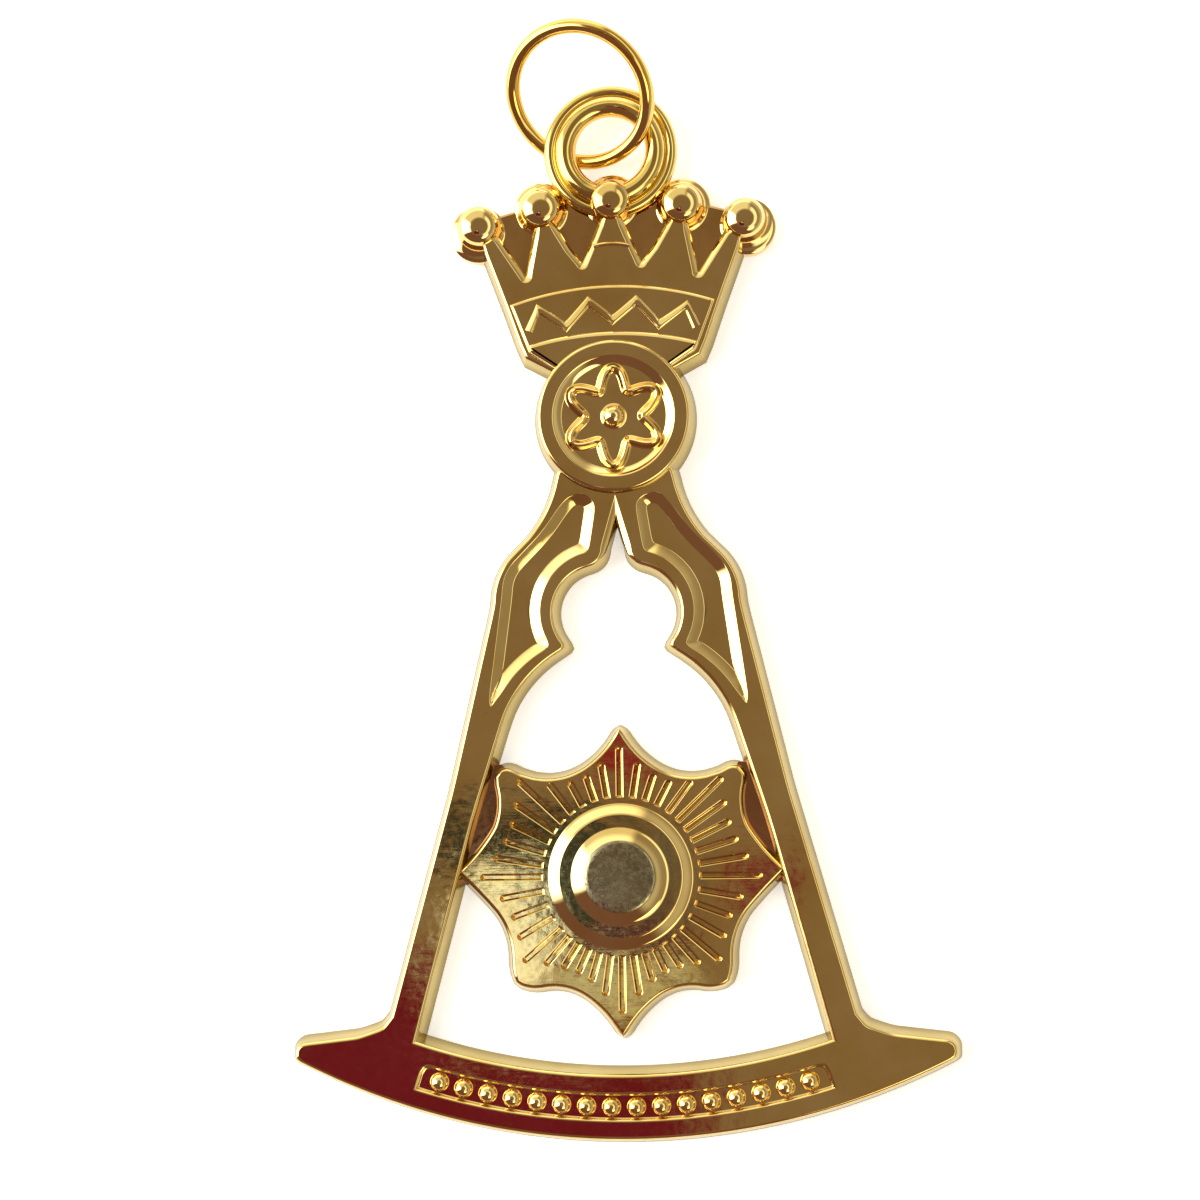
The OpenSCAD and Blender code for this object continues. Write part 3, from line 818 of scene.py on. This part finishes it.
def rosette_rows():
    """A raised rib drawn round a six-pointed flower: its path is
    r(a) = low + (high - low)(1/2 + 1/2 cos 6a), and its section is a bell of height h,
    h (1/2 + 1/2 cos pi u), for u from -1 to 1 across half a rosette_rib either way."""
    a = np.linspace(0, math.tau, 240, endpoint=False)
    high, low = rosette_r - 0.1, rosette_r * rosette_hollow - 0.1
    path = polar(a, low + (high - low) * (0.5 + 0.5 * np.cos(6 * a)))
    side = right_of(np.roll(path, -1, axis=0) - np.roll(path, 1, axis=0))
    rows = []
    for u in np.linspace(1, -1, 13):
        flat = path + side * (rosette_rib / 2) * u
        height = rosette_h * (0.5 + 0.5 * math.cos(math.pi * u))
        rows.append(at_height(flat + [0, hinge_y], hub_floor - 0.01 + height))
    return rows


skin("rosette", rosette_rows())

# Crown


def even_stretches(line, spacing=0.3):
    """Each straight piece of a broken line as a stretch of its own, cut about every
    spacing millimetres, so that each corner keeps a column."""
    lengths = np.linalg.norm(np.diff(line, axis=0), axis=1)
    counts = [max(1, round(length / spacing)) for length in lengths]
    return [stretch(ends, count) for *ends, count in zip(line, line[1:], counts)]


crown_points, crown_curve = placer(crown_w, crown_h, 8)
side_edge = crown_points((0.643, 0.283), (0.687, 0.344), (0.787, 0.519), (0.935, 0.762), (1, 0.897))
notch_edge = joined(
    crown_points((1, 0.897), (0.875, 0.82)),
    crown_curve((0.683, 0.640), (0.646, 0.6287), (0.605, 0.66)),
    crown_points((0.549, 0.84), (0.53, 0.9725), (0.434, 0.858), (0.345, 0.766)),
    crown_curve((0.259, 0.70), (0.221, 0.6827), (0.183, 0.70)),
    crown_points((0.123, 0.786), (0.062, 0.876), (0, 1)),
)


def crown_plate_rows():
    """The crown's flat face with its notches. Columns run up the right side, over the points
    and notches and down the left side, and back along the bottom edge at matching shares.
    The walls of the notches have the wide ridge and fall to the backing."""
    right_side, right_notches = even_stretches(side_edge), even_stretches(notch_edge)
    left_notches, left_side = (even_stretches(e[::-1] * flip) for e in (notch_edge, side_edge))
    top = right_side + right_notches + left_notches + left_side
    shape = joined(*[along(line, shares) for line, shares, _ in top], [side_edge[0] * flip])
    step = np.abs(np.diff(shape[:, 0])) + 0.15 * np.linalg.norm(np.diff(shape, axis=0), axis=1)
    run = joined([0], np.cumsum(step)) / step.sum()
    low_line = crown_points((-0.643, 0.283), (-0.30, 0.17), (0.30, 0.17), (0.643, 0.283))
    outline = top + [stretch(low_line, 1 - run[:0:-1])]
    count = len(shape) - 1
    side_count = sum(len(shares) for _, shares, _ in right_side)
    column = np.arange(2 * count)
    in_notch = (column > side_count) & (column < count - side_count)
    rows = wall_rows(outline, face_h, in_notch, 0, notch_flare, back_h - 0.05)
    rows.append(zipped(at_height(outline_at(outline, 0), 0.3), count))
    return [zipped(rows[0], count)] + rows


skin("crown_plate", crown_plate_rows(), side=wall_bands)

ball_places = crown_points((-1, 0.897), (-0.53, 0.9725), (0, 1), (0.53, 0.9725), (1, 0.897))


def backing_rows():
    """The thin backing behind the points: a plate whose upper edge runs from ball to ball,
    wall_flare outside them, with a rounded edge and an upright wall."""
    up = ball_places[::-1]
    down = crown_points((-0.80, 0.62), (0.80, 0.62))
    outline = long_outline(up, down, 60, 6, 6)
    top = back_h - 0.02
    inset_heights = [(0.2, top), (0.1, top - 0.02), (0, top - 0.12), (0, 0)]
    rows = plate_rows(outline, [(wall_flare - d, z) for d, z in inset_heights])
    rows[-1] = zipped(at_height(outline_at(outline, 0), 0), end_middle(outline))
    return rows


skin("crown_backing", backing_rows(), gilt_backing, side=3)


def ball_profile():
    """Radius and height from the top of a ball to its foot: a button whose top is the curve
    (r / R)^p + (z / H)^p = 1 with p = ball_power and H = ball_cap_h, a short neck, then a
    flange that is rounded over and falls to the back."""
    share = np.sin(np.linspace(0, math.pi / 2, 12))[:-1] * 0.995
    low = ball_h - ball_cap_h
    cap_z = low + ball_cap_h * (1 - share ** ball_power) ** (1 / ball_power)
    flange = ball_r + wall_flare
    return list(zip((ball_r - 0.04) * share, cap_z)) + [
        (ball_r, low), (ball_r + 0.05, low - 0.2), (ball_r + 0.12, back_h + 0.22),
        (ball_r + 0.24, back_h + 0.07), (flange - 0.24, back_h), (flange - 0.10, back_h - 0.05),
        (flange - 0.02, back_h - 0.15), (flange, back_h - 0.3), (flange, 0), (0, 0),
    ]


def ball_rows(place):
    """A turned ball on its place. On the two outermost balls the flange stands further out
    and lower, by outer_foot_shift times ball_r, and the neck leads over to it."""
    rows = revolved(ball_profile(), place, 64)
    if abs(place[0]) > crown_w * 0.9:
        drop = np.clip((back_h + 0.3 - rows[..., 2]) / 0.4, 0, 1)
        rows[..., 0] += np.sign(place[0]) * outer_foot_shift[0] * ball_r * drop
        rows[..., 1] += outer_foot_shift[1] * ball_r * drop
    return rows


for number, place in enumerate(ball_places, 1):
    skin(f"crown_ball_{number}", ball_rows(place))


def band_rows(share, level, inset, round_r):
    """One step of the circlet: a plate below an arc of radius circlet_radius that rises to
    this share of crown_h. Its sides follow the crown's, drawn in by inset, from where their
    distance from the arc's middle equals its radius. Its lower edge runs in from the crown's
    corners to the hinge disc, crown_root degrees from upright. The edge is rounded over."""
    middle = np.array([0, hinge_y + share * crown_h - circlet_radius])
    side = side_edge[:4]
    outward = right_of(np.gradient(side, axis=0))
    side = along(side - inset * outward, np.linspace(0, 1, 400))
    beyond = np.hypot(*(side - middle).T) - circlet_radius
    end = np.array([np.interp(0, beyond, axis) for axis in side.T])
    half = math.degrees(math.asin(end[0] / circlet_radius))
    upper = circle_run(middle[1], circlet_radius, 180 - half, 180 + half)
    low = circle_run(hinge_y, hub_r - hub_rim_w / 2, 180 + crown_root, 180 - crown_root)
    right = np.array([low[-1], side[0] + [0, 0.1], end])
    left = right[::-1] * flip
    outline = [stretch(upper, 60), stretch(left, 20), stretch(low, 60), stretch(right, 20)]
    return plate_rows(outline, roll_over(level, round_r, round_r, 90, 6) + [(0.02, face_h - 0.3)])


skin("circlet_upper_band", band_rows(0.606, face_h + circlet_step, band_inset, 0.28))
skin("circlet_lower_band", band_rows(0.393, face_h + 2 * circlet_step, band_inset + 0.1, 0.42))

zigzag_line = crown_points(
    (-0.63, 0.40), (-0.556, 0.502), (-0.349, 0.415), (-0.179, 0.530), (0, 0.441),
    (0.179, 0.530), (0.349, 0.415), (0.556, 0.502), (0.63, 0.40),
)
# The tops of the rising strokes slope down to the left, those of the falling ones hardly
zigzag_tilt = np.tile([0.01, -0.12], 4)


def rib_rows(line, half, top, base, tilt):
    """A rib carried along a broken line with mitred corners: rows run out along one side and
    back along the other. tilt lowers one side of the top and raises the other, by the given
    height on each piece of the line."""
    n = right_of(np.diff(line, axis=0))
    slide = mitre(joined(n[:1], n), joined(n, n[-1:]))
    knots = np.arange(len(line), dtype=float)
    at = np.linspace(0, len(line) - 1, 12 * (len(line) - 1) + 1)
    ends = np.stack([knots[:-1] + 0.12, knots[1:] - 0.12], axis=1).ravel()
    lean = np.interp(at, ends, np.repeat(tilt, 2))

    def side(d, z):
        """The line moved to its right by d, at height z plus the lean."""
        moved = line + d * slide
        x, y = (np.interp(at, knots, axis) for axis in moved.T)
        return np.column_stack([x, y, z + lean * d / half])

    def both_sides(d, z):
        return joined(side(d, z), side(-d, z)[::-1])

    rows = [both_sides(half - d, top - drop) for d, drop in [(0.16, 0), (0.09, 0.03), (0.02, 0.10)]]
    foot = both_sides(half + 0.03, top)
    foot[:, 2] = base
    far = (len(foot) - 1) / 2
    return [zipped(rows[0], far)] + rows + [foot, zipped(foot, far)]


zigzag_top = face_h + circlet_step + zigzag_h
skin("zigzag", rib_rows(zigzag_line[::-1], zigzag_w / 2, zigzag_top, face_h, zigzag_tilt))
head_y = hinge_y + 0.795 * crown_h - head_step_r
head_line = circle_run(head_y, head_step_r, 180 - head_step_half, 180 + head_step_half, 6)
skin("head_step", rib_rows(head_line, 0.2, face_h + head_step_h, face_h - 0.1, np.zeros(6)))

# Loop behind the crown


def loop_section():
    """Radius and height round the loop's section: a flat back, a rounded inner ring of
    radius loop_tube_r, a narrow valley, and a flange rounded over at its outer edge."""
    a = np.radians(np.linspace(200, 4, 14))
    r, z = loop_tube_x + loop_tube_r * np.cos(a), loop_tube_z + loop_tube_r * np.sin(a)
    top = loop_z + loop_flange_h
    radius_rises = [
        (4.50, -0.26), (4.56, -0.13), (4.68, -0.01), (4.84, 0.05), (5.02, 0.06), (5.20, 0.01),
        (5.35, -0.11), (5.44, -0.26), (loop_r, -0.42),
    ]
    flange = [(r, top + rise) for r, rise in radius_rises]
    back = [
        (loop_r, loop_z + 0.05), (loop_r - 0.05, loop_z), (4.5, loop_z), (loop_tube_x, loop_z),
        (loop_hole_r + 0.2, loop_z + 0.02),
    ]
    return joined(np.stack([r, np.maximum(z, loop_z)], axis=1), flange, back)


skin("loop", revolved(loop_section(), (0, loop_y), 128), gilt_loop, closed_rows=True)


def collar_rows():
    """The shoulder that carries the loop on the backing: a plate under the loop's lower part,
    from its outer edge up to near its hole."""
    outer = circle_run(loop_y, collar_r, -62, 62, 40)
    inner = circle_run(loop_y, loop_hole_r + 0.9, -62, 62, 40)[::-1]
    top = loop_z + loop_flange_h * 0.5
    offset_heights = [(-0.15, top), (-0.05, top - 0.04), (0, top - 0.15), (0.1, 0.45)]
    return plate_rows(long_outline(outer, inner, 40, 4, 4), offset_heights)


skin("loop_collar", collar_rows())

# Jump ring

# Where the ring's lowest point lies round the loop, its bearing from the ring's middle, and
# how far round the ring from it the wire crosses the top of the loop
ring_low_side, ring_low_bearing, ring_over_turn = np.radians([180, 246, 86])
loop_top = loop_tube_z + loop_tube_r
ring_lean = math.asin((loop_top + ring_gap) / (ring_r * (1 - math.cos(ring_over_turn))))


def jump_ring_rows():
    """Round wire bent to a ring. At turn v round the ring and turn u round the wire the point
    is ((R + w cos u) cos v, (R + w cos u) sin v, w sin u), w a little smaller at the two
    ends; the ring is then leaned about its own Y axis, turned to its bearing and set down so
    that its lowest point touches the back plane."""
    slit = ring_slit / ring_r
    start, swell = np.array([0, 0, 0.015, 0.04]), np.array([0, 0.8, 0.97, 1])
    last = math.tau - slit
    v = joined(start, np.linspace(0.07, last - 0.07, 140), last - start[::-1])[:, None]
    size = joined(swell, np.ones(140), swell[::-1])[:, None] * wire_d / 2
    u = np.linspace(0, math.tau, 32, endpoint=False)
    r = ring_r + size * np.cos(u)
    flat = np.stack([r * np.cos(v), r * np.sin(v), size * np.sin(u)], axis=-1)
    turn = Matrix.Rotation(ring_low_bearing, 3, "Z") @ Matrix.Rotation(ring_lean, 3, "Y")
    turn = turn @ Matrix.Rotation(slit / 2, 3, "Z")
    low_r = (loop_r + loop_hole_r) / 2
    low = np.array([low_r * math.cos(ring_low_side), loop_y + low_r * math.sin(ring_low_side)])
    reach = ring_r * math.cos(ring_lean)
    middle = low - reach * np.array([math.cos(ring_low_bearing), math.sin(ring_low_bearing)])
    return flat @ np.array(turn).T + [*middle, wire_d / 2 + ring_r * math.sin(ring_lean)]


skin("jump_ring_wire", jump_ring_rows(), gilt_wire, JUMP_RING)

# Floor, surroundings and camera


def pale_floor():
    """A flat square just under the back plane: a matt white light table with a faint mottle,
    lit softly from below so that the jewel throws no dark shadow."""
    half, z = 0.6, -0.00002
    mesh = bpy.data.meshes.new("floor")
    corners = [(-half, -half, z), (half, -half, z), (half, half, z), (-half, half, z)]
    mesh.from_pydata(corners, [], [(0, 1, 2, 3)])
    floor = bpy.data.objects.new("floor", mesh)
    bpy.context.scene.collection.objects.link(floor)
    material, shader, (fill, add, _, ramp, _) = new_material("pale_floor")
    noise = add("ShaderNodeTexNoise", Vector=add("ShaderNodeTexCoord").outputs["Object"], Scale=60.0)
    fill(shader, Base_Color=ramp(noise.outputs["Fac"], 0.0, 1.0, 0.90, 0.93), Roughness=0.9,
         Specular_IOR_Level=0.1, Emission_Color=(1.0, 0.99, 0.96, 1), Emission_Strength=0.55)
    mesh.materials.append(material)


pale_floor()


def surroundings():
    """A dim studio with a soft window to the left, a pale wall above the jewel's upper end, a
    dark brown front, a pale panel high up on the right, and a brown opening overhead, where
    the camera looks out. Each fills a range of bearings of the direction (x, y, z), or fades
    with its height z. Smaller patches are placed by u = x / z and v = y / z: dark red cloth,
    pale and dark objects beside the camera, and a lamp at the lower right."""
    world = bpy.data.worlds.new("studio_tent")
    bpy.context.scene.world = world
    world.use_nodes = True
    fill, add, maths, ramp, mixed = makers(world.node_tree)
    direction = add("ShaderNodeTexCoord").outputs["Generated"]
    x, y, z = add("ShaderNodeSeparateXYZ", Vector=direction).outputs
    height = maths("MAXIMUM", z, 0.05)
    u, v = maths("DIVIDE", x, height), maths("DIVIDE", y, height)

    def both(a, b):
        return maths("MULTIPLY", a, b)

    def fade(value, low, high):
        """0 at low and 1 at high, by a smooth step."""
        return ramp(value, low, high, kind="SMOOTHSTEP")

    flat = maths("SQRT", maths("MAXIMUM", maths("SUBTRACT", 1.0, both(z, z)), 0.0001))

    def toward(bearing, inner, outer):
        """1 within inner degrees of a bearing, counted from +X, and 0 beyond outer degrees."""
        a = math.radians(bearing)
        share = maths("DIVIDE", maths("ADD", both(x, math.cos(a)), both(y, math.sin(a))), flat)
        return fade(share, math.cos(math.radians(outer)), math.cos(math.radians(inner)))

    low = fade(z, 0.5, 0.3)
    panel = both(toward(0, 55, 75), both(fade(z, 0.7, 0.78), fade(z, 0.94, 0.88)))
    tent = mixed(low, (0.36, 0.31, 0.23), (0.62, 0.58, 0.48))
    tent = mixed(toward(-115, 45, 65), tent, (0.19, 0.1, 0.08))
    tent = mixed(panel, tent, (1.5, 1.45, 1.2))
    tent = mixed(toward(122, 40, 55), tent, mixed(low, (1.0, 0.95, 0.72), (1.9, 1.85, 1.6)))
    tent = mixed(toward(174, 18, 30), tent, (4.5, 4.5, 4.3))
    view = mixed(fade(z, 0.86, 0.93), tent, (0.26, 0.192, 0.13))

    red = both(fade(u, -0.03, -0.055), fade(v, -0.103, -0.118))
    red = both(both(red, fade(u, -0.34, -0.28)), fade(v, -0.36, -0.30))
    view = mixed(red, view, (0.16, 0.012, 0.034))

    # Ovals, full inside 0.6 of their half widths and gone at 1.2 of them: the middle in u and
    # v, the two half widths and the colour, each laid over the ones before it
    patches = [
        (-0.18, -0.1, 0.045, 0.03, (0.16, 0.012, 0.034)),
        (-0.122, -0.062, 0.019, 0.042, (1.25, 1.4, 1.55)),
        (-0.0756, -0.087, 0.03, 0.013, (0.6, 0.62, 0.5)),
        (-0.115, -0.028, 0.06, 0.013, (0.035, 0.035, 0.03)),
        (-0.0756, -0.043, 0.028, 0.026, (0.13, 0.115, 0.1)),
        (-0.093, -0.046, 0.017, 0.026, (0.035, 0.05, 0.045)),
        (-0.0756, -0.067, 0.026, 0.009, (0.09, 0.025, 0.06)),
        (-0.0756, 0.012, 0.02, 0.016, (0.25, 0.02, 0.03)),
        (-0.021, -0.045, 0.012, 0.012, (0.2, 0.02, 0.05)),
        (0.63, -1.0, 0.4, 0.4, (3.6, 3.3, 2.2)),
    ]
    for middle_u, middle_v, wide, high, colour in patches:
        du = maths("DIVIDE", maths("SUBTRACT", u, middle_u), wide)
        dv = maths("DIVIDE", maths("SUBTRACT", v, middle_v), high)
        view = mixed(fade(maths("ADD", both(du, du), both(dv, dv)), 1.44, 0.36), view, colour)
    fill(next(n for n in world.node_tree.nodes if n.type == "BACKGROUND"), Color=view)


surroundings()


def photo_camera():
    """The camera above the jewel, a little to its right. Its place, its lens and its three
    small turns in radians are those of the picture, fitted to corners that match on the left
    and the right of the jewel."""
    data = bpy.data.cameras.new("camera")
    data.sensor_width = 36
    data.lens = 75.01
    data.clip_start = 0.01
    camera = bpy.data.objects.new("camera", data)
    bpy.context.scene.collection.objects.link(camera)
    turn = Matrix.Rotation(0.0140, 3, "Z") @ Matrix.Rotation(-0.0669, 3, "X")
    turn = turn @ Matrix.Rotation(-0.0829, 3, "Y")
    place = Matrix.Translation((0.0153469, 0.0087193, 0.203036))
    camera.matrix_world = place @ turn.transposed().to_4x4()
    bpy.context.scene.camera = camera


photo_camera()
bpy.context.scene.view_settings.view_transform = "Standard"
